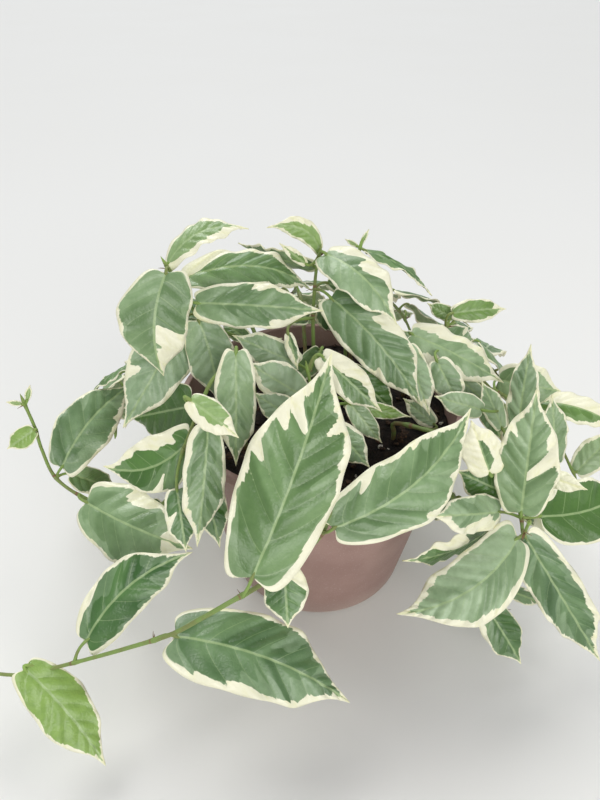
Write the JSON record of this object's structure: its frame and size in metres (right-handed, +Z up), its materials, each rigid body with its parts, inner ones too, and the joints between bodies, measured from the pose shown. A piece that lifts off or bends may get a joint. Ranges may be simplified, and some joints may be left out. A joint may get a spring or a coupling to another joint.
{
  "type": "potted trailing fig",
  "caption": "Trailing fig with long pointed, wavy, cream-edged leaves on slender stems that spill over the rim of a plain tapered pot filled with soil.",
  "frame": {"origin": "centre of the underside of the pot, on the pot's axis", "axes": "+Z up along the pot's axis, -Y towards the side that the picture shows, +X to the right as seen from that side"},
  "size_m": [0.2824, 0.2481, 0.1699],
  "materials": {
    "pot_plastic": "matte",
    "potting_soil": "matte",
    "foliage": "satin"
  },
  "bodies": {
    "root": {"pot": "pot_plastic", "soil": "potting_soil", "front_left_runner": "foliage", "front_right_shoot": "foliage", "low_right_runner": "foliage", "right_arch": "foliage", "right_far": "foliage", "right_shoot": "foliage", "crown_shoot": "foliage", "left_arch": "foliage", "left_runner": "foliage", "left_mid": "foliage", "centre_shoot": "foliage", "top_right_shoot": "foliage", "back_left": "foliage", "back_middle": "foliage", "back_right": "foliage", "right_back": "foliage", "left_back": "foliage"}
  },
  "joints": []
}
